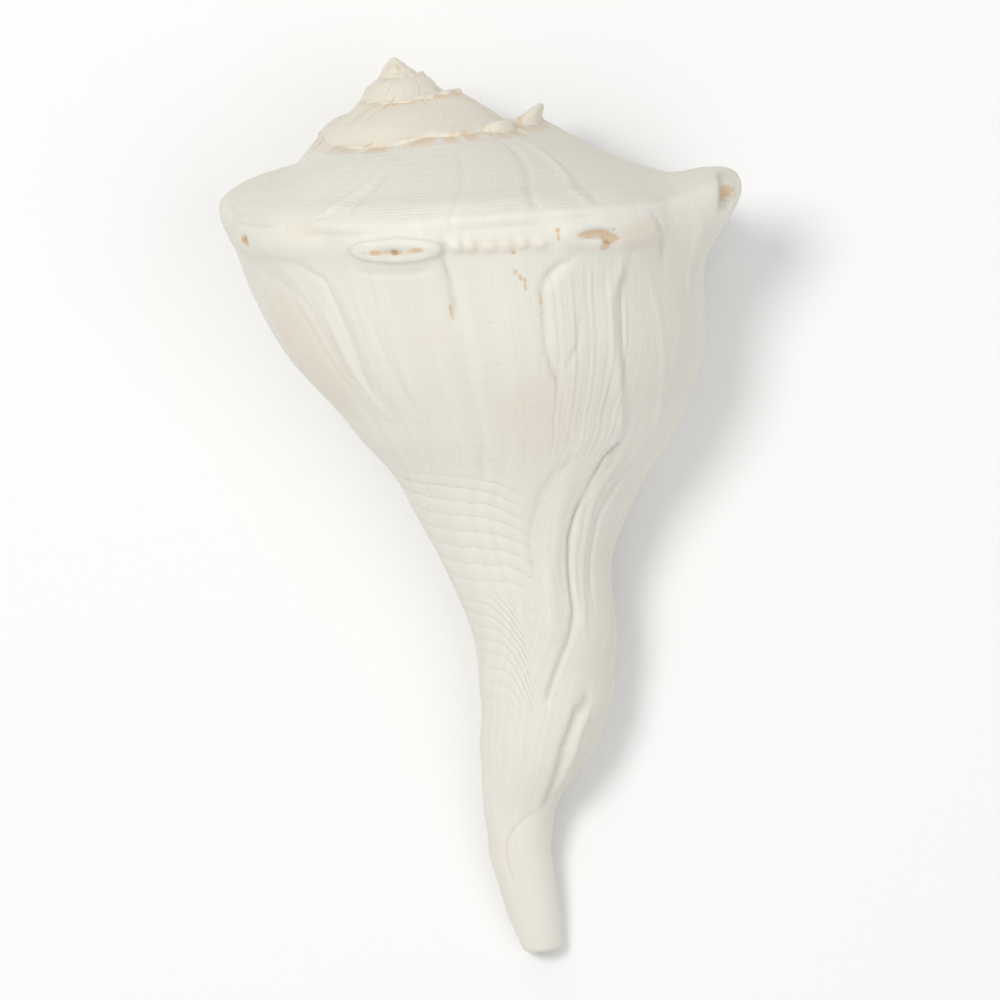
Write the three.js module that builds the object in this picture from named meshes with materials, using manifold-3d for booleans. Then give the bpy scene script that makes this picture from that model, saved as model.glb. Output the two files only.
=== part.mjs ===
// Lightning whelk shell: one grown piece, hollow to a full turn inside, lying on its aperture.
// The shell is worked out round its coiling axis, then laid down as it rests.
import * as THREE from "three";
import { LoftGeometry } from "three/addons/geometries/LoftGeometry.js";
import { mergeVertices } from "three/addons/utils/BufferGeometryUtils.js";
import Module from "manifold-3d";

// Growth: every turn back from the lip is this many times smaller.
const turnGrowth = 2.25;
const lipAngle = -28; // azimuth of the lip at the shoulder, degrees from the right-hand side

// The outer profile at the lip, from the suture down to the end of the canal. r is the distance
// from the axis and a the distance below the apex (mm); rGrow and aGrow say how closely each
// follows the growth (1 shrinks with every turn, 0 stays the same size all the way round);
// lip and span are where the wall starts and how far it runs back round the axis (degrees);
// wall is its thickness (mm) and steps the facets down to the next station.
const profile = [
  { r: 26.5, a: 22.3, rGrow: 1, aGrow: 1, lip: -28, span: 374, wall: 2.4, steps: 1 },
  { r: 29.6, a: 22.5, rGrow: 1, aGrow: 1, lip: -28, span: 374, wall: 2.4, steps: 2 },
  { r: 45, a: 31.6, rGrow: 1, aGrow: 1, lip: -28, span: 374, wall: 2.5, steps: 2 },
  { r: 59.5, a: 39.2, rGrow: 1, aGrow: 1, lip: -28, span: 374, wall: 2.8, steps: 1 },
  { r: 66, a: 42.8, rGrow: 1, aGrow: 1, lip: -28, span: 374, wall: 3.2, steps: 1 },
  { r: 67.2, a: 47.5, rGrow: 1, aGrow: 1, lip: -28, span: 374, wall: 3.2, steps: 2 },
  { r: 61, a: 61, rGrow: 0.8, aGrow: 0.87, lip: -30, span: 374, wall: 2.8, steps: 2 },
  { r: 56.4, a: 77, rGrow: 0.93, aGrow: 0.48, lip: -33, span: 374, wall: 2.6, steps: 2 },
  { r: 48, a: 92, rGrow: 1.2, aGrow: 0.35, lip: -37, span: 374, wall: 2.6, steps: 2 },
  { r: 30.9, a: 108.3, rGrow: 0.64, aGrow: 0.37, lip: -44, span: 338, wall: 2.7, steps: 2 },
  { r: 19.7, a: 122.7, rGrow: 0, aGrow: 0.19, lip: -53, span: 312, wall: 2.8, steps: 2 },
  { r: 16.2, a: 144.2, rGrow: 0, aGrow: 0.16, lip: -62, span: 307, wall: 2.8, steps: 2 },
  { r: 13.8, a: 160.2, rGrow: 0, aGrow: 0, lip: -62, span: 306, wall: 2.6, steps: 1 },
  { r: 8.3, a: 174.5, rGrow: 0, aGrow: 0, lip: -60, span: 304, wall: 2.3, steps: 1 },
  { r: 7.1, a: 183.3, rGrow: 0, aGrow: 0, lip: -60, span: 302, wall: 2.2, steps: 2 },
  { r: 5.8, a: 198.3, rGrow: 0, aGrow: 0, lip: -60, span: 300, wall: 2, steps: 2 },
  { r: 4.3, a: 207, rGrow: 0, aGrow: 0, lip: -60, span: 300, wall: 1.6, steps: 0 },
];
const keel = 4.6; // where the shoulder keel lies along the profile
const keelStation = 5; // the station just below it

// How far the middle of the shell leans to the right of the axis at each distance below the apex.
const lean = [[0, 0], [45, 2.2], [84, 4.4], [98, 8.4], [115, 11.2], [135, 13.6], [150, 12.4], [160, 8.2],
  [175, 1.5], [184, 0.4], [196, 1], [207, 2]];

// Knobs along the keel, counted back from the lip in turns. How far one stands out and up,
// as a part of the keel's radius, goes with its place: the last is the largest.
const firstKnob = 0.1, knobGap = 0.124, knobGapShrink = 0.97, knobGapLeast = 0.072;
const knobOut = [[0.1, 0.14], [0.2, 0.075], [0.8, 0.075], [1.1, 0.14], [1.4, 0.08]];
const knobUp = [[0.1, 0.08], [0.2, 0.01], [0.8, 0.01], [1.1, 0.15], [1.4, 0.03]];
const knobWidth = 0.019; // in turns
const firstKnobWider = 1.4; // the last knob grown is this many times wider
const knobReach = { up: 1.2, down: 0.8 }; // how far it runs up the ramp and down the body, in places
const knobHollow = 0.5; // how much of a knob shows on the inside of the wall

// The columella: a smooth rounded pillar under the inner edge of the wall. Its radius (mm) is
// given at places along the profile.
const pillar = [[7.4, 11.5], [8, 10.5], [8.5, 9], [9, 7.8], [9.5, 6.8], [10, 5.8], [10.5, 4.8], [11, 3.8],
  [11.5, 3], [12, 2.3], [13, 1.6], [14, 1.1]];

const pillarSink = 0.05; // how far the pillar lies under the face of the wall (mm)
const pillarSides = 14;

// The wall thins towards the lip, over so many degrees, to this part of its thickness.
const lipThinning = { least: 0.55, over: 30 };

// The filled turns behind the last one, as lapping pieces of less than half a turn each.
const corePieces = 10, pieceTurns = 0.45, pieceFacets = 8, pieceLap = 0.004;
const coreFoot = 8; // station where the filled turns end
const coreTopDrop = 0.5, coreFootDrop = 12; // depth of each section's inner edge (mm at the lip)
const hubShare = 0.16; // inner edge of the filled turns, as a part of their radius

// The spindle in the middle of the filled turns: its girth against their inner edge, how far below
// the keel it runs (mm at the lip), the depth of its foot below the apex (mm), and its sides.
const spindle = { girth: 2.2, belowKeel: 8, foot: 70, sides: 10 };
const spindleTurns = [1, 1.5, 2, 2.5, 3, 3.5, 4, 4.5, 5];
const apexBall = { radius: 1.5, drop: 4.6, round: 12, over: 8 };
const restTilt = 10.7, restRoll = -4.9; // how the shell settles, in degrees
const curveStep = 0.002; // how far apart two points of the profile give its direction
const weld = 1e-4; // corners closer than this are one (mm)
const tableEase = 0.4; // how much the values between two rows of a table are eased

const radians = Math.PI / 180;
const { lerp, smoothstep, clamp } = THREE.MathUtils;

function alongTable(table, x) {
  let i = 1;
  while (i < table.length - 1 && table[i][0] < x) i++;
  const [x0, y0] = table[i - 1];
  const [x1, y1] = table[i];
  const straight = clamp((x - x0) / (x1 - x0), 0, 1);
  return lerp(y0, y1, lerp(straight, smoothstep(x, x0, x1), tableEase));
}

function stationValue(key, t) {
  const i = Math.min(Math.floor(t), profile.length - 2);
  return lerp(profile[i][key], profile[i + 1][key], t - i);
}

// The profile's curve as it was n turns before the lip.
function profileCurve(n) {
  const knots = profile.map((p) => new THREE.Vector3(
    p.r * turnGrowth ** (-n * p.rGrow), p.a * turnGrowth ** (-n * p.aGrow), 0));
  return new THREE.CatmullRomCurve3(knots, false, "centripetal");
}

// How far the knobs push the surface out and up, as parts of the keel's radius.
function knobAt(n, t) {
  const spread = t < keel ? knobReach.up : knobReach.down;
  const across = Math.exp(-(((t - keel) / spread) ** 2));
  let out = 0;
  let up = 0;
  let gap = knobGap;
  for (let k = firstKnob; k < n + 4 * knobWidth; k += gap) {
    const width = k === firstKnob ? firstKnobWider * knobWidth : knobWidth;
    const share = across * Math.exp(-(((n - k) / width) ** 2));
    out += share * alongTable(knobOut, k);
    up += share * alongTable(knobUp, k);
    if (k > firstKnob) gap = Math.max(gap * knobGapShrink, knobGapLeast);
  }
  return { out, up };
}

// A point of the shell at azimuth turn (degrees) and place t along the profile,
// sunk by depth (mm) under the outer surface.
function shellPoint(turn, t, depth, inside = false) {
  const n = (turn - lipAngle) / 360;
  const curve = profileCurve(n);
  const share = t / (profile.length - 1);
  const p = curve.getPoint(share);
  const ahead = curve.getPoint(Math.min(share + curveStep, 1));
  const behind = curve.getPoint(Math.max(share - curveStep, 0));
  const along = ahead.sub(behind).normalize();
  const knob = knobAt(n, t);
  const bump = curve.getPoint(keel / (profile.length - 1)).x * (inside ? knobHollow : 1);
  const r = p.x + knob.out * bump - depth * along.y;
  const a = p.y - knob.up * bump + depth * along.x;
  return new THREE.Vector3(
    alongTable(lean, a) + r * Math.cos(turn * radians), -a, r * Math.sin(turn * radians));
}

// Places along the profile where the wall has a corner.
const places = profile.flatMap((p, i) =>
  Array.from({ length: p.steps || 1 }, (_, k) => i + k / (p.steps || 1)));

// Sections of the wall from the lip back round the axis. Both ends are rounded over a few
// facets, so that the inner and outer faces meet on the middle of the wall.
const edgeRound = [[0, 0], [0.4, 0.72], [1.3, 1]]; // distance in from the edge (mm), fullness
const wallSections = 45;

function wallSection(angleAt, fullness) {
  const outer = [];
  const inner = [];
  for (const t of places) {
    const turn = angleAt(t);
    const thin = lerp(lipThinning.least, 1, smoothstep(turn - stationValue("lip", t), 0, lipThinning.over));
    const wall = stationValue("wall", t) * thin;
    outer.push(shellPoint(turn, t, (1 - fullness) * wall / 2, fullness === 0));
    inner.push(shellPoint(turn, t, (1 + fullness) * wall / 2, true));
  }
  return [...inner, ...outer.reverse()];
}

function wallGeometry() {
  const sections = [];
  const radiusAt = (t) => stationValue("r", t);
  for (const [inset, fullness] of edgeRound)
    sections.push(wallSection((t) => stationValue("lip", t) + inset / radiusAt(t) / radians, fullness));
  for (let i = 1; i < wallSections; i++)
    sections.push(wallSection((t) => stationValue("lip", t) + stationValue("span", t) * i / wallSections, 1));
  for (const [inset, fullness] of [...edgeRound].reverse())
    sections.push(wallSection(
      (t) => stationValue("lip", t) + stationValue("span", t) - inset / radiusAt(t) / radians, fullness));
  return new LoftGeometry(sections);
}

// Just under half a turn of the filled older whorls, starting some turns back from the lip.
function coreGeometry(from) {
  const sections = [];
  for (let i = 0; i <= pieceFacets; i++) {
    const n = from + pieceTurns * i / pieceFacets + (i === pieceFacets ? pieceLap : 0);
    const turn = lipAngle + 360 * n;
    const size = turnGrowth ** -n;
    const hub = hubShare * profile[1].r * size;
    const rim = places.filter((t) => t <= coreFoot).map((t) => shellPoint(turn, t, 0));
    const top = rim[0].y - coreTopDrop * size;
    const foot = rim.at(-1).y - coreFootDrop * size;
    const axisPoint = (y) => new THREE.Vector3(
      alongTable(lean, -y) + hub * Math.cos(turn * radians), y, hub * Math.sin(turn * radians));
    sections.push([axisPoint(top), axisPoint(foot), ...rim.reverse()]);
  }
  return new LoftGeometry(sections, { capStart: true, capEnd: true });
}

function ringSections(stops, sides) {
  return stops.map(({ middle, r }) => Array.from({ length: sides }, (_, i) => {
    const angle = i / sides * 2 * Math.PI;
    return new THREE.Vector3(middle.x + r * Math.cos(angle), middle.y, middle.z + r * Math.sin(angle));
  }));
}

function pillarGeometry() {
  const stops = pillar.map(([t, r]) => ({
    r, middle: shellPoint(stationValue("lip", t) + stationValue("span", t), t, r + pillarSink, true) }));
  return new LoftGeometry(ringSections(stops, pillarSides), { capStart: true, capEnd: true });
}

// The spindle that fills the middle of the older whorls, from the apex down.
function spindleGeometry() {
  const middle = (a) => new THREE.Vector3(alongTable(lean, a), -a, 0);
  const stops = spindleTurns.map((n) => {
    const size = turnGrowth ** -n;
    return {
      r: spindle.girth * hubShare * profile[1].r * size,
      middle: middle((profile[keelStation].a + spindle.belowKeel) * size),
    };
  });
  const foot = { r: stops[0].r, middle: middle(spindle.foot) };
  const sections = ringSections([foot, ...stops], spindle.sides).reverse();
  return new LoftGeometry(sections, { capStart: true, capEnd: true });
}

const wasm = await Module();
wasm.setup();

// A closed geometry as a solid: its shared corners are merged and its empty triangles dropped.
function solidOf({ attributes, index: faces }) {
  const bare = new THREE.BufferGeometry().setAttribute("position", attributes.position).setIndex(faces);
  const merged = mergeVertices(bare, weld);
  const triVerts = [];
  const index = merged.index.array;
  for (let i = 0; i < index.length; i += 3) {
    const [a, b, c] = index.slice(i, i + 3);
    if (a !== b && b !== c && c !== a) triVerts.push(a, b, c);
  }
  return new wasm.Manifold(new wasm.Mesh({
    numProp: 3, vertProperties: merged.attributes.position.array, triVerts: new Uint32Array(triVerts) }));
}

let shell = solidOf(wallGeometry());
for (let i = 0; i < corePieces; i++) shell = shell.add(solidOf(coreGeometry(1 + i * pieceTurns)));
shell = shell.add(solidOf(spindleGeometry()));
shell = shell.add(solidOf(pillarGeometry()));
const apex = new THREE.SphereGeometry(apexBall.radius, apexBall.round, apexBall.over);
shell = shell.add(solidOf(apex.translate(0, -apexBall.drop, 0)));

// The joins leave specks smaller than a grain of sand, inside and out: only the shell itself is kept.
const bodies = shell.decompose().sort((one, other) => other.volume() - one.volume());
const mesh = bodies[0].getMesh();
const geometry = new THREE.BufferGeometry();
geometry.setAttribute("position", new THREE.BufferAttribute(mesh.vertProperties, 3));
geometry.setIndex(new THREE.BufferAttribute(mesh.triVerts, 1));
geometry.rotateY(restRoll * radians);
geometry.rotateX(restTilt * radians);
geometry.computeBoundingBox();
const { min, max } = geometry.boundingBox;
geometry.translate(-(min.x + max.x) / 2, -(min.y + max.y) / 2, -min.z);
geometry.computeVertexNormals();

const bleachedShell = new THREE.MeshStandardMaterial({ color: 0xe9e5da, roughness: 0.55, metalness: 0 });
const whelkShell = new THREE.Mesh(geometry, bleachedShell);
whelkShell.name = "whelk_shell";

const group = new THREE.Group();
group.add(whelkShell);
export default group;
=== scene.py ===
import math
import bmesh
import bpy
import numpy as np
from mathutils import Matrix, Vector


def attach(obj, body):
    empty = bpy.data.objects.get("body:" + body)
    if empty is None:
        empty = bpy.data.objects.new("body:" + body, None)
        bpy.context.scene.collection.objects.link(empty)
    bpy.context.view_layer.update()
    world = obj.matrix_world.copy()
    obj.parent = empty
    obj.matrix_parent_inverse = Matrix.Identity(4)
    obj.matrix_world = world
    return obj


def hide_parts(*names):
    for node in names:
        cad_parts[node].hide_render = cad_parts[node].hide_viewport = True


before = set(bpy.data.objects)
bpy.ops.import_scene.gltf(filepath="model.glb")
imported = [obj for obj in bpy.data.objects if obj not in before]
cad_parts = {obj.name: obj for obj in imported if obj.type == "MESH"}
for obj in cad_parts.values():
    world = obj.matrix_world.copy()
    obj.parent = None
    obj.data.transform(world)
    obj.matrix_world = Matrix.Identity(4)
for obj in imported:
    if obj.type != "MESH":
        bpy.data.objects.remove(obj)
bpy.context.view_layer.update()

# The shell's growth, in millimetres and degrees, worked out round its coiling axis.
growth = {
    "perTurn": 2.25,          # every turn back from the lip is this many times smaller
    "lipAngle": -28,          # azimuth of the lip at the shoulder, from the right-hand side
    "keel": 4.6,              # place of the shoulder keel along the profile
    "restTilt": 10.7,
    "restRoll": -4.9,
}

# The profile at the lip, from the suture down to the end of the canal: distance from the axis,
# distance below the apex, how closely each follows the growth, where the wall starts and how far
# it runs back round the axis, and its thickness.
profileKeys = ("r", "a", "rGrow", "aGrow", "lip", "span", "wall")
profile = dict(zip(profileKeys, np.array([
    (26.5, 20, 1, 1, -28, 374, 2.4),
    (29.6, 20.2, 1, 1, -28, 374, 2.4),
    (45, 31.6, 1, 1, -28, 374, 2.5),
    (59.5, 39.2, 1, 1, -28, 374, 2.8),
    (66, 42.8, 1, 1, -28, 374, 3.2),
    (67.2, 47.5, 1, 1, -28, 374, 3.2),
    (61, 61, 0.8, 0.87, -30, 374, 2.8),
    (56.4, 77, 0.93, 0.48, -33, 374, 2.6),
    (48, 92, 1.2, 0.35, -37, 374, 2.6),
    (30.9, 108.3, 0.64, 0.37, -44, 338, 2.7),
    (19.7, 122.7, 0, 0.19, -53, 312, 2.8),
    (16.2, 144.2, 0, 0.16, -62, 307, 2.8),
    (13.8, 160.2, 0, 0, -62, 306, 2.6),
    (8.3, 174.5, 0, 0, -60, 304, 2.3),
    (7.1, 183.3, 0, 0, -60, 302, 2.2),
    (5.8, 198.3, 0, 0, -60, 300, 2),
    (4.3, 207, 0, 0, -60, 300, 1.6)], float).T))
lastPlace = len(profile["r"]) - 1

# How far the middle of the shell leans to the right at each distance below the apex.
lean = np.array([(0, 0), (45, 2.2), (84, 4.4), (98, 8.4), (115, 11.2), (135, 13.6), (150, 12.6), (160, 9.7),
                 (175, 2.7), (184, 1.4), (196, 2.2), (207, 3.2)], float)

# How much lower than the growth alone would make them the older turns lie, against turns before the lip.
spireDrop = [(0.9, 0), (1.08, 0.2), (1.16, 3), (1.29, 3.6), (1.36, 5.3), (1.42, 5.3), (1.5, 3.4), (1.62, 3.2),
             (1.8, 3), (2, 2.6), (2.12, 2.9), (2.33, 4.8), (2.6, 3.9), (3.08, 2.2), (3.33, 3.2), (4.5, 1.8)]

# Knobs along the keel: azimuth, half length round the keel (degrees), how far it stands out and up as
# parts of the keel's radius, its place on the profile, and how flat its top is worn (2 is round).
lastKnobs = [(8, 10, 0.15, 0, 4.95, 2), (8, 11, 0, 0.077, 4.5, 2),
             (42, 15, 0.035, 0, 5.35, 4), (94, 13, 0.035, 0, 5.4, 4),
             (134, 17, 0.04, 0, 5.3, 4), (170, 10, 0.06, 0.01, 4.9, 3), (204, 8, 0.045, 0.02, 4.6, 3),
             (238, 7, 0.075, 0.01, 4.6, 2), (272, 6.5, 0.08, 0.02, 4.6, 2), (304, 6.5, 0.09, 0.03, 4.6, 2),
             (335, 7, 0.12, 0.08, 4.6, 2)]

# Broad swellings and hollows of the last turn, in the same form.
swellings = [(5, 32, 0.036, 0, 7.4, 2), (178, 32, -0.045, 0, 8.6, 2), (178, 32, -0.05, 0, 10.4, 2),
             (186, 30, -0.035, 0.05, 4.4, 2)]
olderKnobs = {"first": 368, "gap": 27, "halfLength": 9, "place": 4.8, "worn": 3,
              "out": [(360, 0.15), (385, 0.1), (420, 0.05), (560, 0.05), (700, 0.09)],
              "up": [(360, 0.1), (375, 0.1), (395, 0.08), (420, 0.02), (700, 0.02)]}

# How the wall's grid is laid out: columns run round the axis, rows run down the profile. The tables
# give the share of the columns against degrees back from the lip, and of the rows against the profile.
wallGrid = {"columns": 300, "rows": 231, "coarser": 3, "edge": 1.3, "rim": 0.15}
columnsAlong = [(0, 0), (0.12, 40), (0.62, 160), (0.78, 222), (1, 374)]
rowsAlong = [(0, 0), (0.19, 4), (0.26, 5.4), (0.47, 8), (0.76, 12), (1, 16)]

# How the growth lines swing round the axis down the profile: between two places, by so many degrees.
growthSwings = [(0.8, 5, 22), (8, 10, 24), (10.3, 11.7, 36), (11.8, 16, -20)]

millimetre = 0.001
insideMark = 20      # added to the growth of every inner face, so that its finish can differ


def smooth(low, high, x):
    share = np.clip((x - low) / (high - low), 0, 1)
    return share * share * (3 - 2 * share)


def mix(a, b, share):
    return a + (b - a) * share


def alongTable(table, x):
    # values between the rows of a table, eased a little at each row
    table = np.asarray(table, float)
    i = np.clip(np.searchsorted(table[:, 0], x), 1, len(table) - 1)
    low, high = table[i - 1], table[i]
    linear = np.clip((x - low[..., 0]) / (high[..., 0] - low[..., 0]), 0, 1)
    return mix(low[..., 1], high[..., 1], linear * linear * (3 - 2 * linear) * 0.4 + linear * 0.6)


def stationValue(key, t):
    return np.interp(t, np.arange(lastPlace + 1), profile[key])


def slopeAt(before, here, after, stepIn, stepOut):
    # slope of the profile's curve at a knot, from the knots and the steps on either side of it
    return (here - before) / stepIn - (after - before) / (stepIn + stepOut) + (after - here) / stepOut


def profilePoint(n, t):
    # the profile's smooth curve as it was n turns before the lip: distance from the axis, and
    # distance below the apex. Next to the suture it follows the turn before.
    scale = growth["perTurn"] ** -n
    stations = range(lastPlace + 1)
    before = [n + np.clip((4 - i) / 3, 0, 1) for i in stations]
    knots = [np.stack([profile["r"][i] * scale ** profile["rGrow"][i] for i in stations]),
             np.stack([profile["a"][i] * scale ** profile["aGrow"][i] + alongTable(spireDrop, before[i])
                       for i in stations])]
    knots = [np.concatenate([2 * k[:1] - k[1:2], k, 2 * k[-1:] - k[-2:-1]]) for k in knots]
    i = np.clip(np.floor(t).astype(int), 0, lastPlace - 1)
    share = t - i
    corners = [[np.take_along_axis(k, (i + j)[None], 0)[0] for j in range(4)] for k in knots]
    steps = [np.maximum(((corners[0][j + 1] - corners[0][j]) ** 2 +
                         (corners[1][j + 1] - corners[1][j]) ** 2) ** 0.25, 1e-4) for j in range(3)]
    point = []
    for c in corners:
        into = slopeAt(c[0], c[1], c[2], steps[0], steps[1]) * steps[1]
        out = slopeAt(c[1], c[2], c[3], steps[1], steps[2]) * steps[1]
        point.append(c[1] + into * share + (3 * (c[2] - c[1]) - 2 * into - out) * share ** 2 +
                     (2 * (c[1] - c[2]) + into + out) * share ** 3)
    return point


def oneKnob(turn, t, place, halfLength, out, up, centre, worn):
    spread = np.where(t < centre, 1.1, 0.75) * (0.7 if worn > 2 else 1)
    share = np.exp(-((t - centre) / spread) ** 2) * np.exp(-np.abs((turn - place) / halfLength) ** worn)
    return share * out, share * up


def knobPush(turn, t):
    out = np.zeros_like(turn)
    up = np.zeros_like(turn)
    for knob in lastKnobs + swellings:
        more = oneKnob(turn, t, *knob)
        out, up = out + more[0], up + more[1]
    place = olderKnobs["first"]
    while place < turn.max() + 20:
        more = oneKnob(turn, t, place, olderKnobs["halfLength"],
                       np.interp(place, *np.array(olderKnobs["out"]).T),
                       np.interp(place, *np.array(olderKnobs["up"]).T),
                       olderKnobs["place"], olderKnobs["worn"])
        out, up = out + more[0], up + more[1]
        place += olderKnobs["gap"]
    return out, up


def shellPoint(turn, t, depth=0.0, relief=0.0):
    # a point of the shell at azimuth turn and place t, sunk by depth and raised by relief, with the
    # coiling axis still upright
    n = (turn - growth["lipAngle"]) / 360
    r, a = profilePoint(n, t)
    ahead = profilePoint(n, np.minimum(t + 0.03, lastPlace))
    behind = profilePoint(n, np.maximum(t - 0.03, 0))
    alongR, alongA = ahead[0] - behind[0], ahead[1] - behind[1]
    length = np.hypot(alongR, alongA)
    keelRadius = profilePoint(n, np.full_like(n, growth["keel"]))[0] * np.where(depth > 0.5, 0.5, 1)
    out, up = knobPush(turn, t)
    r = r + out * keelRadius - (depth - relief) * alongA / length
    a = a - up * keelRadius + (depth - relief) * alongR / length
    around = np.radians(turn)
    return np.stack([alongTable(lean, a) + r * np.cos(around), -a, r * np.sin(around)], -1)


def layDown(points):
    # turned as the shell settles on its side
    roll, tilt = (np.radians(growth[k]) for k in ("restRoll", "restTilt"))
    x, y, z = points[..., 0], points[..., 1], points[..., 2]
    x, z = x * np.cos(roll) + z * np.sin(roll), -x * np.sin(roll) + z * np.cos(roll)
    y, z = y * np.cos(tilt) - z * np.sin(tilt), y * np.sin(tilt) + z * np.cos(tilt)
    return np.stack([x, y, z], -1)


def gridMesh(name, columns, rows, place, inside=0):
    # a grid of bmesh's own whose vertices are then moved to place(across, down), with its uvs set to the
    # growth, and a second layer that holds how deep the surface is carved
    bm = bmesh.new()
    bmesh.ops.create_grid(bm, x_segments=columns, y_segments=rows, size=1)
    mesh = bpy.data.meshes.new(name)
    bm.to_mesh(mesh)
    bm.free()
    flat = np.zeros(len(mesh.vertices) * 3)
    mesh.vertices.foreach_get("co", flat)
    across, down = (flat.reshape(-1, 3)[:, k] / 2 + 0.5 for k in (0, 1))
    points, turn, t, carved = place(across, down)
    mesh.vertices.foreach_set("co", points.ravel())
    uvs = mesh.uv_layers.new(name="growth")
    corners = np.zeros(len(mesh.loops), int)
    mesh.loops.foreach_get("vertex_index", corners)
    swing = sum(degrees * smooth(low, high, t) for low, high, degrees in growthSwings) - growthSwings[0][2]
    uvs.data.foreach_set("uv", np.stack([(turn - swing) / 360 + inside, t], -1)[corners].ravel())
    carving = mesh.uv_layers.new(name="carving")
    carving.data.foreach_set("uv", np.stack([carved, carved], -1)[corners].ravel())
    return mesh


def wallTurn(across, t):
    # azimuth of a column: closer together on the side that lies uppermost
    back = np.interp(across, *np.array(columnsAlong).T) / columnsAlong[-1][1]
    return stationValue("lip", t) + stationValue("span", t) * back


def wallFullness(turn, t):
    # the wall's edges are rounded: 0 on the middle of the wall, 1 at its full thickness
    lip, span = stationValue("lip", t), stationValue("span", t)
    radius = stationValue("r", t)
    around = np.radians(np.minimum(turn - lip, lip + span - turn)) * radius
    down = np.minimum(t * 4, (lastPlace - t) * 8)
    inset = np.clip(np.minimum(around, down) / wallGrid["edge"], 0, 1)
    return mix(wallGrid["rim"], 1, np.sqrt(1 - (1 - inset) ** 2))


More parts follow.
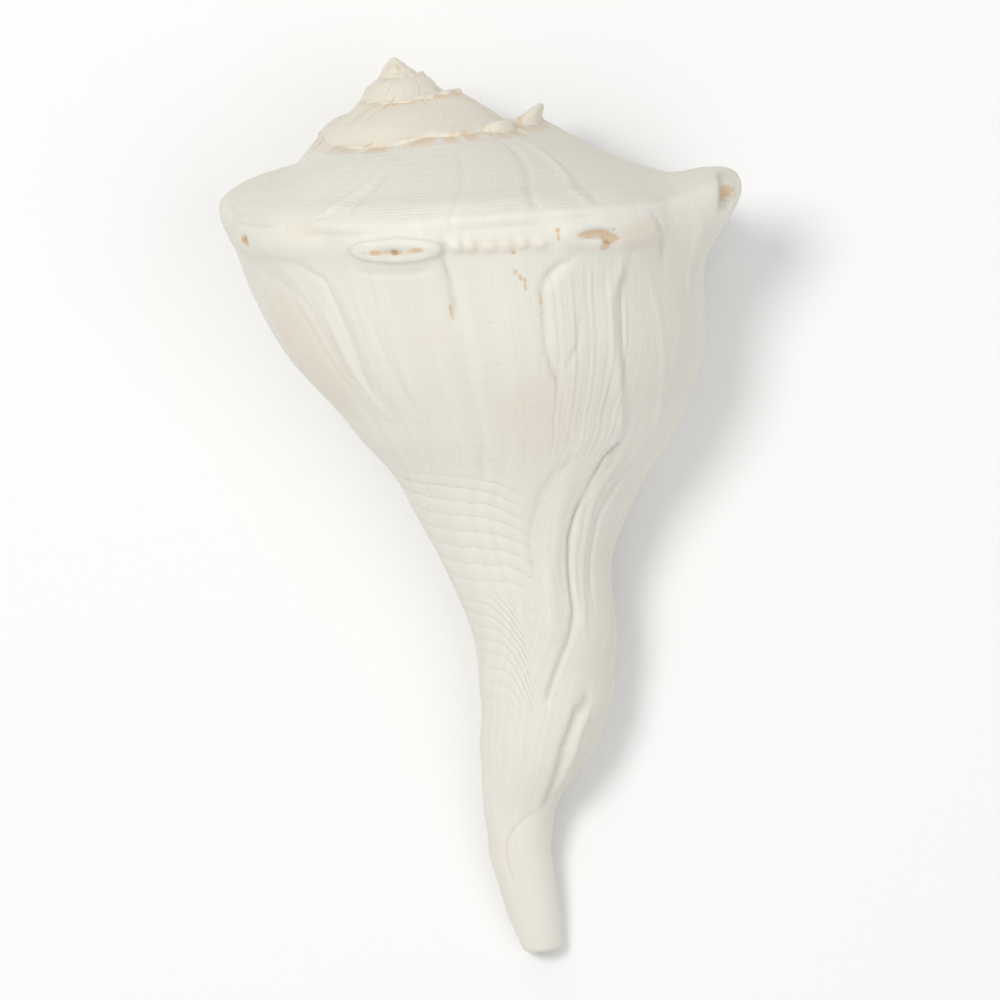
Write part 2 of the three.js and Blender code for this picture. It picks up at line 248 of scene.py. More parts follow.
# Relief of the outer surface: strokes along the growth, as (azimuth, place) points with a half width and
# a height in millimetres; a height below 0 is a groove.
strokes = {
    "waistGroove": ([(30, 8.2), (37, 8.5), (42, 9), (47, 9.3), (52, 9.65), (54, 10.2), (56, 10.5), (62, 10.7),
                     (74, 11.05), (90, 11.5)], 0.65, -0.85),
    "waistLine": ([(44, 8.3), (51, 8.5), (58, 8.7), (62, 8.85), (67, 9.15), (72, 9.4), (77, 9.7),
                   (78, 10.2)], 0.5, -0.4),
    "waistRibbon": ([(50, 8.7), (55, 9.1), (59, 9.4), (65, 9.95), (70, 10.3), (78, 10.85)], 1.7, 0.55),
    "outerRibbon": ([(27, 8.4), (33, 8.8), (38, 9.15), (42, 9.6), (44, 9.95), (47, 10.4),
                     (53, 10.75)], 0.9, 0.55),
    "outerLine": ([(33, 8.35), (38, 8.7), (43, 9.1), (47, 9.6), (50, 10), (53, 10.5)], 0.7, 0.4),
    "outerGroove": ([(20, 8.7), (26, 9), (32, 9.3), (34, 9.7), (38, 10.4)], 0.7, -0.35),
    "foldGroove": ([(44, 11.35), (52, 11.48), (59, 11.55), (62, 11.8), (66, 12), (62, 12.3), (52, 12.7),
                    (42, 13)], 1.3, -0.85),
    "foldRidge": ([(44, 11.5), (52, 11.8), (52, 12.25), (38, 12.65)], 1.1, 0.6),
    "panelEdge": ([(50, 5.7), (55, 5.85), (58, 6), (60, 6.2), (60.5, 6.9), (58, 7.25), (55, 7.5)], 0.6, -0.6),
    "panelCrease": ([(51, 6.4), (52, 6.8), (56, 7.2)], 0.5, -0.45),
    "panelRidge": ([(37, 5.8), (41, 6.1), (43, 6.4), (43, 6.85), (40, 7.25), (36, 7.7),
                    (34, 8.15)], 1.4, 0.6),
    "panelSide": ([(36.5, 5.9), (38.5, 6.2), (39, 6.75), (37.5, 7.3), (34, 7.75)], 0.6, -0.35),
    "rightFlute": ([(31, 6), (27, 6.4), (25, 6.9), (21, 7.5), (17, 7.9), (15, 8.4)], 1.0, 0.35),
    "keelGroove": ([(154, 5.02), (137, 4.98), (121, 4.93)], 0.7, -0.55),
    "keelGrooveRight": ([(122, 5.1), (105, 5.15), (92, 5.18), (80, 5.18), (69, 5.15), (58, 5.1),
                         (44, 5.05)], 0.7, -0.55),
    "scarShade": ([(108, 5.74), (101, 5.87), (90, 5.88), (82, 5.76)], 0.8, -0.4),
    "notch": ([(54, 5.38), (50, 5.4), (46, 5.4), (43.5, 5.5), (41, 5.68)], 1.25, -1.5),
    "notchTop": ([(50, 5.38), (47, 5.33), (45, 5.4)], 0.9, -1.1),
    "patchArc": ([(34, 5.02), (31, 5.17), (28, 5.45), (25, 5.76), (23, 6)], 0.75, -0.6),
    "knobFluteA": ([(19, 5.15), (15, 5.5), (13, 5.95), (12, 6.5)], 0.9, 0.5),
    "knobFluteB": ([(10, 5.3), (9, 5.7), (8, 6.2)], 0.9, 0.5),
    "breakGroove": ([(81.5, 5.2), (82.5, 5.7), (82, 6), (82, 6.3), (83, 6.6)], 0.65, -0.8),
    "hairline": ([(83.5, 6.7), (83, 7.2), (81, 7.5), (80, 7.85), (83, 8.3), (90, 8.9)], 0.45, -0.25),
    "leftFoldA": ([(131, 5.7), (126, 5.95), (121, 6.25), (118, 6.6), (117.5, 7.1), (115, 7.5),
                   (112, 7.9)], 0.9, 0.45),
    "leftFoldB": ([(124, 5.65), (119, 5.85), (115, 6), (113.5, 6.4), (113, 6.8), (114, 7.2),
                   (115, 7.6)], 0.75, -0.5),
    "leftFoldC": ([(128, 5.8), (123, 6.1), (120, 6.4), (119.5, 6.9), (118, 7.4)], 0.6, -0.4),
    "leftFoldD": ([(142, 5.85), (131, 6.1), (128, 6.4), (125, 6.9), (122, 7.5)], 0.8, -0.3),
    "leftFoldE": ([(107, 6.1), (105, 6.5), (103.5, 7), (102, 7.5), (99, 7.8), (101, 8.3)], 0.7, -0.3),
    "leftFoldF": ([(135, 5.9), (124, 6.3), (121.5, 6.8), (120.5, 7.3)], 0.7, -0.35),
    "leftFoldG": ([(112, 5.9), (110, 6.5), (109.5, 7), (108.5, 7.6)], 0.8, 0.3),
    "rampCreaseA": ([(91, 1.7), (96, 2.25), (103, 2.9), (110, 4.2), (119, 5)], 0.9, 0.55),
    "rampCreaseB": ([(93, 2), (98, 2.8), (102, 3.6), (104, 4.9)], 0.7, -0.4),
    "rampCreaseC": ([(67, 1.7), (72, 2.6), (77, 3.8), (80, 5.1)], 0.7, -0.35),
    "rampCreaseD": ([(43, 1.5), (52, 2.4), (58, 3.2), (60, 4.1), (59, 5)], 0.8, -0.5),
    "rampCreaseE": ([(34, 1.5), (42, 2.5), (49, 3.7), (47, 4.8)], 1.1, 0.45),
    "rampCreaseF": ([(34, 1.9), (40, 2.6), (45, 3.6), (45, 4.4), (41, 4.9)], 0.8, -0.35),
    "tipCrack": ([(50, 12.9), (83, 13.1), (102, 13.4), (114, 13.7), (115, 14.05), (112, 14.5)], 0.4, -0.4),
}

bosses = {      # azimuth, place, half sizes round and along (mm), height, sharpness of the edge
    "wornKnob": (93, 5.48, 10.2, 3.3, 1.2, 8),
    "leftBand": (131, 5.42, 16.5, 3.5, 0.6, 4),
    "spineFlat": (41, 5.42, 15, 3.6, 0.8, 5),
    "bead1": (79, 5.46, 1.2, 1.7, 1.3, 3), "bead2": (75.8, 5.48, 1.3, 1.4, 1.1, 3),
    "bead3": (71.5, 5.5, 1.5, 1.3, 0.9, 3), "bead4": (67.4, 5.5, 1.3, 1.2, 0.8, 3),
    "bead5": (63.8, 5.48, 1.3, 1.3, 0.9, 3), "bead6": (60, 5.5, 1.5, 1.4, 0.9, 3),
    "knobHole": (140.5, 5.36, 1.3, 1.8, -1.8, 3),
    "wornHollow": (94, 5.5, 7.5, 1.7, -0.5, 4), "wornPit": (93.6, 5.51, 0.9, 0.6, -1.2, 2),
    "brokenEnd": (11, 5.06, 2.2, 3.2, -2.2, 4),
}

alongProfile = np.concatenate([[0], np.cumsum(np.hypot(np.diff(profile["r"]), np.diff(profile["a"])))])


def strokeRelief(turn, t, path, width, height):
    # distance on the surface from each point to the stroke, which fades at both ends
    around = np.radians(profilePoint((turn - growth["lipAngle"]) / 360, t)[0])
    down = np.interp(t, np.arange(lastPlace + 1), alongProfile)
    ends = np.array(path, float)
    ends[:, 1] = np.interp(ends[:, 1], np.arange(lastPlace + 1), alongProfile)
    lengths = np.hypot(np.diff(ends[:, 0]) * 0.6, np.diff(ends[:, 1]))
    starts = np.concatenate([[0], np.cumsum(lengths)])
    nearest = np.full_like(turn, 1e9)
    passed = np.zeros_like(turn)
    for i, length in enumerate(lengths):
        x, y = (turn - ends[i, 0]) * around, down - ends[i, 1]
        dx, dy = (ends[i + 1, 0] - ends[i, 0]) * around, ends[i + 1, 1] - ends[i, 1]
        share = np.clip((x * dx + y * dy) / (dx * dx + dy * dy), 0, 1)
        distance = np.hypot(x - dx * share, y - dy * share)
        closer = distance < nearest
        nearest = np.where(closer, distance, nearest)
        passed = np.where(closer, starts[i] + share * length, passed)
    taper = smooth(0, 4, passed) * smooth(0, 4, starts[-1] - passed)
    return height * taper * np.exp(-(nearest / width) ** 2)


def bossRelief(turn, t, place, centre, halfRound, halfAlong, height, edge):
    around = np.radians(profilePoint((turn - growth["lipAngle"]) / 360, t)[0])
    down = np.interp(t, np.arange(lastPlace + 1), alongProfile)
    middle = np.interp(centre, np.arange(lastPlace + 1), alongProfile)
    reach = np.hypot((turn - place) * around / halfRound, (down - middle) / halfAlong)
    return height * np.exp(-reach ** edge)


def between(turn, t, left, right, soft):
    # 1 between two lines of (azimuth, place), 0 outside, over soft degrees
    leftTurn = np.interp(t, [p[1] for p in left], [p[0] for p in left])
    rightTurn = np.interp(t, [p[1] for p in right], [p[0] for p in right])
    return smooth(0, soft, leftTurn - turn) * smooth(0, soft, turn - rightTurn)


def panelRelief(turn, t):
    # the raised panel of flutes right of the middle
    panel = between(turn, t, [(52, 5.7), (60, 6.2), (60, 6.9), (55, 7.6), (52, 8.3)],
                    [(37, 5.8), (39, 6.2), (39, 6.8), (36, 7.5), (30, 8.3)], 2.5)
    return 0.6 * panel * smooth(5.6, 6.1, t) * smooth(0, 1.2, 8.9 - t)


def carvedRelief(turn, t):
    relief = sum(strokeRelief(turn, t, *stroke) for stroke in strokes.values())
    return relief + sum(bossRelief(turn, t, *bosses[name]) for name in bosses if bosses[name][4] < 0)


def outerRelief(turn, t):
    band = smooth(5.05, 5.25, t) * smooth(0, 0.2, 5.75 - t) * smooth(20, 32, turn) * smooth(320, 300, turn)
    relief = 0.15 * band + 0.3 * band * smooth(150, 165, turn) + panelRelief(turn, t)
    return relief + sum(bossRelief(turn, t, *bosses[name]) for name in bosses if bosses[name][4] > 0)


def wallSide(side):
    def place(across, down):
        t = np.interp(down, *np.array(rowsAlong).T)
        turn = wallTurn(across, t)
        thin = mix(0.55, 1, smooth(0, 30, turn - stationValue("lip", t)))
        wall = stationValue("wall", t) * thin
        fullness = wallFullness(turn, t)
        depth = (1 - side * fullness) * wall / 2
        carved = carvedRelief(turn, t) * fullness if side > 0 else np.zeros_like(turn)
        relief = outerRelief(turn, t) * fullness + carved if side > 0 else 0
        return shellPoint(turn, t, depth, relief), turn, t, carved
    return place


def wallMesh():
    outer = gridMesh("outer", wallGrid["columns"], wallGrid["rows"], wallSide(1))
    inner = gridMesh("inner", wallGrid["columns"] // wallGrid["coarser"],
                     wallGrid["rows"] // wallGrid["coarser"], wallSide(-1), insideMark)
    bm = bmesh.new()
    bm.from_mesh(outer)
    bm.from_mesh(inner)
    uv = bm.loops.layers.uv.active
    known = {loop.vert: loop[uv].uv.copy() for face in bm.faces for loop in face.loops}
    edges = [e for e in bm.edges if e.is_boundary]
    rim = bmesh.ops.bridge_loops(bm, edges=edges)["faces"]
    for face in rim:
        for loop in face.loops:
            loop[uv].uv = (known[loop.vert].x % insideMark, known[loop.vert].y)
    bmesh.ops.recalc_face_normals(bm, faces=bm.faces)
    mesh = bpy.data.meshes.new("wall")
    bm.to_mesh(mesh)
    bm.free()
    return mesh


# The filled older turns, from the newest back, as closed pieces of just under a turn each.
olderTurns = {"from": 1, "each": 0.9, "columns": (150, 110, 80, 60, 48), "rows": (60, 48, 36, 30, 24),
              "foot": 8, "footDrop": 12, "hubShare": 0.16, "lap": 0.004}


def olderTurn(start, columns, rows):
    # the section is a closed ring: down the outside to the foot, then back up near the axis
    def place(across, down):
        n = start + (olderTurns["each"] + olderTurns["lap"]) * across
        turn = growth["lipAngle"] + 360 * n
        scale = growth["perTurn"] ** -n
        outside = 1 - 3 / rows
        t = np.clip(down / outside, 0, 1) * olderTurns["foot"]
        points = shellPoint(turn, t)
        hub = olderTurns["hubShare"] * profile["r"][1] * scale
        around = np.radians(turn)
        foot = shellPoint(turn, np.full_like(t, olderTurns["foot"]))[:, 1] - olderTurns["footDrop"] * scale
        top = shellPoint(turn, np.zeros_like(t))[:, 1] - 0.5 * scale
        step = np.rint((down - outside) * rows)
        for number, height in ((1, foot), (2, top)):
            pick = step == number
            points[pick] = np.stack([alongTable(lean, -height) + hub * np.cos(around), height,
                                     hub * np.sin(around)], -1)[pick]
        pick = step == 3
        points[pick] = shellPoint(turn, np.zeros_like(t))[pick]
        return points, turn, t, np.zeros_like(turn)

    mesh = gridMesh("turn", columns, rows, place)
    bm = bmesh.new()
    bm.from_mesh(mesh)
    bmesh.ops.remove_doubles(bm, verts=bm.verts, dist=1e-4)
    bmesh.ops.holes_fill(bm, edges=[e for e in bm.edges if e.is_boundary], sides=0)
    bmesh.ops.recalc_face_normals(bm, faces=bm.faces)
    bm.to_mesh(mesh)
    bm.free()
    return mesh


def plainMesh(bm, name, growthPoint):
    # the bmesh as a mesh whose whole surface has one place in the growth
    uv = bm.loops.layers.uv.new("growth")
    for face in bm.faces:
        for loop in face.loops:
            loop[uv].uv = growthPoint
    mesh = bpy.data.meshes.new(name)
    bm.to_mesh(mesh)
    bm.free()
    return mesh


def stackOfRings(name, stops, sides):
    # a closed column through rings of (middle, radius)
    bm = bmesh.new()
    before = None
    for middle, radius in stops:
        ring = bmesh.ops.create_circle(bm, segments=sides, radius=radius)["verts"]
        for v in ring:
            v.co = Vector((v.co.x + middle[0], middle[1], v.co.y + middle[2]))
        edges = list({e for v in ring for e in v.link_edges})
        if before:
            bmesh.ops.bridge_loops(bm, edges=before + edges)
        before = edges
    bmesh.ops.holes_fill(bm, edges=[e for e in bm.edges if e.is_boundary], sides=0)
    bmesh.ops.recalc_face_normals(bm, faces=bm.faces)
    return plainMesh(bm, name, (insideMark, 8))


# The smooth pillar under the inner edge of the wall: its radius at places along the profile.
pillar = np.array([(7.4, 11.5), (8, 10.5), (8.5, 9), (9, 7.8), (9.5, 6.8), (10, 5.8), (10.5, 4.8), (11, 3.8),
                   (11.5, 3), (12, 2.3), (13, 1.6), (14, 1.1)], float)


def pillarMesh():
    stops = []
    for t in np.linspace(pillar[0][0], pillar[-1][0], 45):
        radius = float(np.interp(t, *pillar.T))
        turn = stationValue("lip", t) + stationValue("span", t)
        stops.append((shellPoint(np.array([turn]), np.array([t]), radius + 0.05)[0], radius))
    return stackOfRings("pillar", stops, 40)


def spindleMesh():
    stops = [((float(alongTable(lean, np.array(70.0))), -70, 0), 0)]
    for n in np.arange(1, 5.1, 0.5):
        scale = growth["perTurn"] ** -n
        a = (profile["a"][5] + 8) * scale + float(alongTable(spireDrop, np.array(n)))
        middle = (float(alongTable(lean, np.array(a))), -a, 0)
        stops.append((middle, 2.2 * olderTurns["hubShare"] * profile["r"][1] * scale))
    stops[0] = (stops[0][0], stops[1][1])
    return stackOfRings("spindle", stops, 24)


def apexMesh():
    bm = bmesh.new()
    bmesh.ops.create_uvsphere(bm, u_segments=24, v_segments=16, radius=1.5)
    bmesh.ops.translate(bm, verts=bm.verts, vec=(0, -3.3, 0))
    return plainMesh(bm, "apex", (5, 2))


def objectOf(mesh):
    thing = bpy.data.objects.new(mesh.name, mesh)
    bpy.context.scene.collection.objects.link(thing)
    return thing


def buildShell():
    shell = objectOf(wallMesh())
    parts = [olderTurn(olderTurns["from"] + i * olderTurns["each"], c, r)
             for i, (c, r) in enumerate(zip(olderTurns["columns"], olderTurns["rows"]))]
    for mesh in parts + [spindleMesh(), pillarMesh(), apexMesh()]:
        part = objectOf(mesh)
        join = shell.modifiers.new("join", "BOOLEAN")
        join.operation = "UNION"
        join.solver = "MANIFOLD"
        join.object = part
        bpy.context.view_layer.update()
        joined = bpy.data.meshes.new_from_object(shell.evaluated_get(bpy.context.evaluated_depsgraph_get()))
        shell.modifiers.clear()
        shell.data = joined
        bpy.data.objects.remove(part)
        print("joined", mesh.name, len(joined.polygons))
    return shell


def keepLargest(mesh):
    # the joins leave a few loose specks: only the shell itself is kept
    bm = bmesh.new()
    bm.from_mesh(mesh)
    bm.verts.ensure_lookup_table()
    left = set(bm.verts)
    islands = []
    while left:
        island, edge = set(), [left.pop()]
        while edge:
            vert = edge.pop()
            island.add(vert)
            near = {e.other_vert(vert) for e in vert.link_edges} & left
            left -= near
            edge.extend(near)
        islands.append(island)
    islands.sort(key=len)
    for island in islands[:-1]:
        bmesh.ops.delete(bm, geom=list(island), context="VERTS")
    print("specks dropped", len(islands) - 1)
    bm.to_mesh(mesh)
    bm.free()


def meshPoints(mesh):
    flat = np.zeros(len(mesh.vertices) * 3)
    mesh.vertices.foreach_get("co", flat)
    return flat.reshape(-1, 3)


def canalEnd(points):
    # the middle of the last two millimetres of the canal
    return points[points[:, 1] < points[:, 1].min() + 2 * millimetre].mean(0)


def settle(mesh):
    # laid down, scaled to metres and set on the ground with the end of its canal where the model's is
    points = layDown(meshPoints(mesh)) * millimetre
    points += canalEnd(meshPoints(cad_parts["whelk_shell"].data)) - canalEnd(points)
    points[:, 2] -= points[:, 2].min()
    mesh.vertices.foreach_set("co", points.ravel())
    mesh.update()


shell = buildShell()
keepLargest(shell.data)
settle(shell.data)
shell.name = "whelkShell"
print("shell", len(shell.data.vertices), len(shell.data.polygons), [u.name for u in shell.data.uv_layers])

# The camera looks down on the shell from a little below its middle, its spire leaning to the left.
view = {"azimuth": 0, "elevation": 86, "roll": -8.6, "distance": 1.0, "framed": 0.2228,
        "aim": (-0.0069, -0.0007, 0.035)}


def setCamera():
    azimuth, elevation, roll = (math.radians(view[k]) for k in ("azimuth", "elevation", "roll"))
    back = Vector((math.sin(azimuth) * math.cos(elevation), -math.cos(azimuth) * math.cos(elevation),
                   math.sin(elevation)))
    right = Vector((math.cos(azimuth), math.sin(azimuth), 0))
    up = back.cross(right)
    right, up = right * math.cos(roll) + up * math.sin(roll), up * math.cos(roll) - right * math.sin(roll)
    data = bpy.data.cameras.new("camera")
    data.sensor_width = 36
    data.lens = data.sensor_width * view["distance"] / view["framed"]
    camera = bpy.data.objects.new("camera", data)
    middle = Vector(view["aim"])
    place = middle + back * view["distance"]
    camera.matrix_world = Matrix.Translation(place) @ Matrix((right, up, back)).transposed().to_4x4()
    bpy.context.scene.collection.objects.link(camera)
    bpy.context.scene.camera = camera


setCamera()
print("camera", view["elevation"], "degrees up")


def areaLight(name, place, size, watts, colour):
    data = bpy.data.lights.new(name, "AREA")
    data.shape = "DISK"
    data.size = size
    data.energy = watts
    data.color = colour
    light = bpy.data.objects.new(name, data)
    light.location = place
    light.rotation_euler = (Vector((0, 0, 0.03)) - Vector(place)).to_track_quat("-Z", "Y").to_euler()
    bpy.context.scene.collection.objects.link(light)


def lightStudio():
    areaLight("key", (-0.45, 0.3, 1.35), 0.45, 8.3, (1, 0.99, 0.97))
    areaLight("fill", (0.5, -0.3, 1.2), 0.9, 2.5, (0.97, 0.98, 1))
    world = bpy.data.worlds.new("studio")
    world.use_nodes = True
    world.node_tree.nodes["Background"].inputs["Color"].default_value = (1, 1, 1, 1)
    world.node_tree.nodes["Background"].inputs["Strength"].default_value = 0.57
    bpy.context.scene.world = world
    bpy.context.scene.view_settings.view_transform = "Standard"


def floorPlane():
    bm = bmesh.new()
    bmesh.ops.create_grid(bm, x_segments=1, y_segments=1, size=3)
    mesh = bpy.data.meshes.new("floor")
    bm.to_mesh(mesh)
    bm.free()
    floor = objectOf(mesh)
    material = bpy.data.materials.new("floor")
    material.use_nodes = True
    material.node_tree.nodes["Principled BSDF"].inputs["Base Color"].default_value = (0.93, 0.93, 0.93, 1)
    material.node_tree.nodes["Principled BSDF"].inputs["Roughness"].default_value = 0.9
    mesh.materials.append(material)


lightStudio()
floorPlane()
print("studio lit")


class Shade:
    # a node's socket that takes part in Python expressions
    def __init__(self, tree, socket):
        self.tree = tree
        self.socket = socket

    def math(self, operation, *values):
        return addNode(self.tree, "ShaderNodeMath", {"operation": operation}, values)

    def __add__(self, other):
        return self.math("ADD", self, other)

    def __sub__(self, other):
        return self.math("SUBTRACT", self, other)

    def __rsub__(self, other):
        return self.math("SUBTRACT", other, self)

    def __mul__(self, other):
        return self.math("MULTIPLY", self, other)

    def __truediv__(self, other):
        return self.math("DIVIDE", self, other)

    def __pow__(self, other):
        return self.math("POWER", self, other)

    __radd__ = __add__
    __rmul__ = __mul__

    def sine(self):
        return self.math("SINE", self)

    def absolute(self):
        return self.math("ABSOLUTE", self)

    def between(self, low, high):
        # 0 below low, 1 above high, smooth in between; turned round where low is above high
        flip = low > high
        ramp = addNode(self.tree, "ShaderNodeMapRange", {"interpolation_type": "SMOOTHSTEP"},
                       {0: self, 1: min(low, high), 2: max(low, high), 3: float(flip), 4: float(not flip)})
        return ramp

    def output(self, number):
        return Shade(self.tree, self.socket.node.outputs[number])


def addNode(tree, kind, settings=None, inputs=(), output=0):
    node = tree.nodes.new(kind)
    for name, value in (settings or {}).items():
        setattr(node, name, value)
    for key, value in (inputs.items() if isinstance(inputs, dict) else enumerate(inputs)):
        if isinstance(value, Shade):
            tree.links.new(value.socket, node.inputs[key])
        else:
            node.inputs[key].default_value = value
    return Shade(tree, node.outputs[output]) if node.outputs else None


def tint(tree, share, under, over):
    return addNode(tree, "ShaderNodeMix", {"data_type": "RGBA"}, {0: share, 6: under, 7: over}, 2)


# The bleached shell's colours, among them a painted shade and a painted crease shade, and its stains:
# azimuth, place, half sizes (degrees, places), strength.
finish = {
    "chalk": (0.80, 0.775, 0.69, 1), "white": (0.85, 0.83, 0.76, 1), "paintedShade": (0.735, 0.71, 0.625, 1),
    "aged": (0.76, 0.68, 0.53, 1), "hollow": (0.60, 0.55, 0.46, 1), "peach": (0.80, 0.70, 0.585, 1),
    "tan": (0.70, 0.50, 0.30, 1), "brown": (0.42, 0.24, 0.11, 1), "cream": (0.83, 0.80, 0.68, 1),
    "roughness": 0.5, "insideRoughness": 0.3,
}
stains = [
    (94, 5.5, 8, 0.05, 0.4), (93.5, 5.52, 1.2, 0.05, 1.2), (88, 5.47, 1.5, 0.05, 0.7),
    (98, 5.5, 1.6, 0.05, 0.6), (140.5, 5.36, 2.2, 0.11, 1.3), (66, 5.62, 0.7, 0.04, 1),
    (66, 5.94, 0.6, 0.05, 1), (65, 6.02, 0.6, 0.05, 1), (64, 6.06, 0.5, 0.04, 0.8),
    (64, 6.14, 0.4, 0.05, 0.7), (56, 5.29, 0.5, 0.05, 1), (56, 5.41, 0.45, 0.06, 1),
    (83, 6.35, 0.5, 0.05, 0.9), (83, 6.43, 0.5, 0.05, 0.7), (60.3, 6.3, 0.4, 0.09, 0.9),
    (60.3, 6.44, 0.4, 0.04, 0.9), (48, 5.4, 4, 0.08, 0.8), (44, 5.5, 2.4, 0.09, 0.8),
    (10.5, 5.06, 1.5, 0.15, 1), (45, 5.6, 1.6, 0.08, 0.8), (43.5, 5.33, 0.4, 0.03, 0.9),
]
peachPatches = [(135, 7, 16, 0.9, 0.55), (62, 7.8, 14, 0.7, 0.35), (35, 5.45, 7, 0.3, 0.6),
                (95, 14.2, 60, 1, 0.2), (117, 5, 6, 0.3, 0.35), (70, 5.5, 10, 0.15, 0.4)]


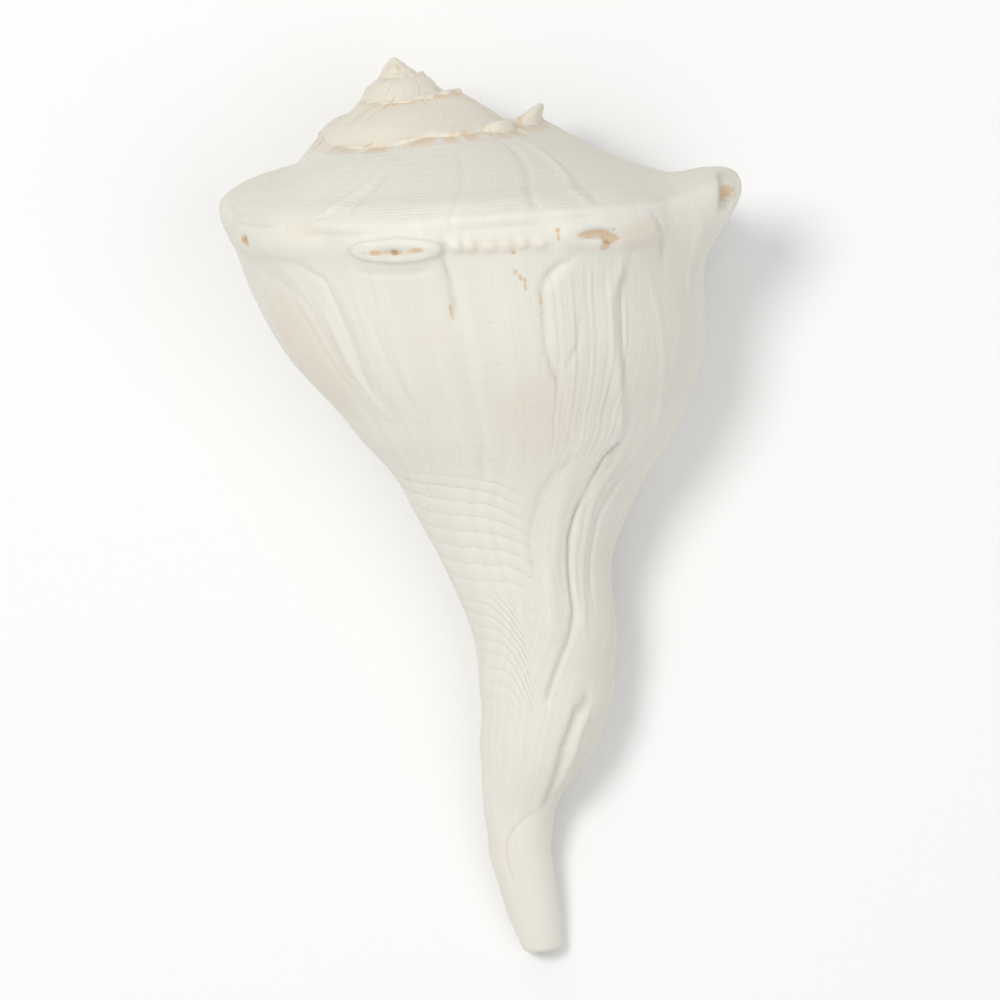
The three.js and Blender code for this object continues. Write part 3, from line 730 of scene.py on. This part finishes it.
def shellMaterial():
    material = bpy.data.materials.new("bleachedShell")
    material.use_nodes = True
    tree = material.node_tree
    tree.nodes.clear()
    where = addNode(tree, "ShaderNodeTexCoord", output=3)
    carvingUv = addNode(tree, "ShaderNodeUVMap", {"uv_map": "carving"})
    carved = addNode(tree, "ShaderNodeSeparateXYZ", inputs=[carvingUv])
    growthUv = addNode(tree, "ShaderNodeUVMap", {"uv_map": "growth"})
    split = addNode(tree, "ShaderNodeSeparateXYZ", inputs=[growthUv])
    inner = split.between(insideMark / 2, insideMark / 2 + 1)
    outer = 1 - inner
    turn = (split - inner * insideMark) * 360
    place = split.output(1)

    def noise(across, down, detail=2.0, roughness=0.5):
        # noise stretched along the growth lines or across them
        vector = addNode(tree, "ShaderNodeCombineXYZ", inputs=[turn * across, place * down, 0.0])
        return addNode(tree, "ShaderNodeTexNoise", {"noise_dimensions": "2D"},
                       {"Vector": vector, "Scale": 1.0, "Detail": detail, "Roughness": roughness})

    def cloud(scale, detail=3.0):
        return addNode(tree, "ShaderNodeTexNoise", {},
                       {"Vector": where, "Scale": scale, "Detail": detail, "Roughness": 0.55})

    def reach(middle, centre, halfTurn, halfPlace):
        across = (turn - middle) / halfTurn
        down = (place - centre) / halfPlace
        return across * across + down * down

    def spot(middle, centre, halfTurn, halfPlace, strength):
        return reach(middle, centre, halfTurn, halfPlace).between(1.3, 0.35) * strength

    azimuth = turn + sum((place.between(low, high) * degrees for low, high, degrees in growthSwings[1:]),
                         place.between(*growthSwings[0][:2]) * growthSwings[0][2]) - float(growthSwings[0][2])
    whorl = turn.math("POWER", growth["perTurn"], (turn - float(growth["lipAngle"])) / -360.0)
    growthLines = noise(1.1, 0.55, 3.0, 0.6)
    bands = noise(0.22, 0.12, 2.0)
    fineLines = noise(4.5, 1.2, 2.0)
    wobble = noise(0.12, 1.5, 2.0)
    ramp = place.between(0.25, 0.8) * place.between(4.9, 4.6)
    threads = ((place + wobble * 0.12) * (2 * math.pi / 0.205)).sine() * ramp
    threads = threads * noise(0.08, 3.0).between(0.35, 0.6)
    body = place.between(5.8, 6.3) * place.between(8.8, 8.2)
    bodyThreads = ((place + wobble * 0.12) * (2 * math.pi / 0.19)).sine() * body
    bodyThreads = bodyThreads * noise(0.05, 1.5).between(0.35, 0.65)
    grain = cloud(900, 2.0)
    pits = cloud(420, 2.0).between(0.33, 0.27)

    # wavy cords over the waist, then slanting ones down the left of the canal
    bend = azimuth.math("MAXIMUM", 100 - azimuth, 0.0)
    level = place - bend * bend * 0.0004 + wobble * 0.07
    waist = place.between(8.5, 8.95) * place.between(10.5, 10) * azimuth.between(66, 84)
    waist = waist * azimuth.between(172, 143)
    bend = azimuth.math("MAXIMUM", 122 - azimuth, 0.0)
    slant = place - bend * bend * 0.0009 + wobble * 0.04
    canal = place.between(10.1, 10.5) * place.between(11.75, 11.3) * azimuth.between(93, 101)
    canal = canal * azimuth.between(160, 140)
    waistCords = (level * (math.pi / 0.2)).sine().absolute() ** 0.6 * waist * 0.2
    cords = waistCords + (slant * (math.pi / 0.145)).sine().absolute() ** 0.6 * canal * 0.16

    # flutes of the raised panel
    panel = turn.between(33, 37) * turn.between(61, 58) * place.between(5.8, 6.1) * place.between(8.6, 7.9)
    flutes = ((turn * 2.4).sine() * 0.5 + (turn * 3.7 + place).sine() * 0.3) * panel * 0.09

    calm = (place.between(13, 10) * 0.65 + 0.35) * (1 - (waist + canal) * 0.7)
    rough = turn.between(72, 55) * place.between(5.6, 6.1) * 0.25 + 1.0
    lines = growthLines * calm * rough * 0.13 + fineLines * calm * rough * 0.04 + threads * 0.055
    height = outer * whorl * lines + outer * (bodyThreads * 0.018 + cords + flutes)
    height = height + grain * 0.03 - pits * outer * 0.06
    normal = addNode(tree, "ShaderNodeBump", {}, {"Strength": 1.0, "Distance": millimetre, "Height": height})

    colour = tint(tree, bands.between(0.35, 0.7) * 0.5 * outer, finish["chalk"], finish["white"])
    # painted shade over the spire's ramp, which tilts away from the light, stronger towards the right
    colour = tint(tree, ramp * outer * (azimuth.between(120, 30) * 0.5 + 0.4), colour, finish["paintedShade"])
    # painted shade on the right of the body, which turns away from the light
    rightSideShade = azimuth.between(85, 30) * place.between(5.2, 6) * place.between(8.5, 7.5)
    colour = tint(tree, rightSideShade * outer * 0.35, colour, finish["paintedShade"])
    colour = tint(tree, place.between(11, 15.5) * outer * 0.4, colour, finish["white"])
    colour = tint(tree, cloud(28).between(0.5, 0.75) * 0.22, colour, finish["peach"])
    colour = tint(tree, growthLines.between(0.45, 0.3) * 0.12 * outer, colour, finish["peach"])
    # painted shade in the carved grooves, then a painted highlight on the carved ridges
    colour = tint(tree, carved.between(-0.1, -0.9) * 0.45, colour, finish["hollow"])
    colour = tint(tree, carved.between(0.15, 0.8) * 0.35, colour, finish["white"])
    # painted shade on the left of the keel band, darkening its lit top left
    leftKeelShade = azimuth.between(98, 112) * place.between(5, 5.2) * place.between(6.2, 5.6)
    colour = tint(tree, leftKeelShade * outer * 0.35, colour, finish["paintedShade"])
    # painted shade on the right side of the canal below the fold
    canalSideShade = azimuth.between(62, 45) * place.between(11.3, 12) * place.between(14, 13)
    colour = tint(tree, canalSideShade * outer * 0.4, colour, finish["paintedShade"])
    # painted shade along the rim of the worn oval scar
    scar = reach(93, 5.48, 11.2, 0.215) + (cloud(160) - 0.5) * 0.9
    scarRimShade = scar.between(0.75, 1.0) * scar.between(1.35, 1.05)
    colour = tint(tree, scarRimShade * outer * 0.33, colour, finish["hollow"])
    patches = sum((spot(*p) for p in peachPatches[1:]), spot(*peachPatches[0]))
    colour = tint(tree, patches * outer, colour, finish["peach"])
    older = turn.between(350, 375) * outer
    suture = place.between(1.5, 1.22) * outer
    colour = tint(tree, older * 0.35, colour, finish["aged"])
    colour = tint(tree, suture * noise(0.2, 1.0).between(0.35, 0.6) * 0.6, colour, finish["tan"])
    colour = tint(tree, older * noise(0.13, 0.3).between(0.58, 0.72) * 0.55, colour, finish["tan"])
    marks = sum((spot(*p) for p in stains[1:]), spot(*stains[0]))
    marks = marks * outer * cloud(700).between(0.3, 0.5)
    colour = tint(tree, marks.between(0, 0.6) * 0.7, colour, finish["tan"])
    colour = tint(tree, marks.between(0.75, 1.6) * 0.6, colour, finish["brown"])
    colour = tint(tree, inner * 0.8, colour, finish["cream"])

    smoother = finish["insideRoughness"] - finish["roughness"]
    roughness = finish["roughness"] + growthLines * 0.08 + inner * smoother
    surface = addNode(tree, "ShaderNodeBsdfPrincipled", {},
                      {"Base Color": colour, "Roughness": roughness, "Normal": normal, "IOR": 1.5})
    addNode(tree, "ShaderNodeOutputMaterial", {}, {"Surface": surface})
    return material


material = shellMaterial()
shell.data.materials.clear()
shell.data.materials.append(material)
shell.data.polygons.foreach_set("use_smooth", [True] * len(shell.data.polygons))
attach(shell, "root")
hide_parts("whelk_shell")
print("material", material.name, len(material.node_tree.nodes), "nodes")
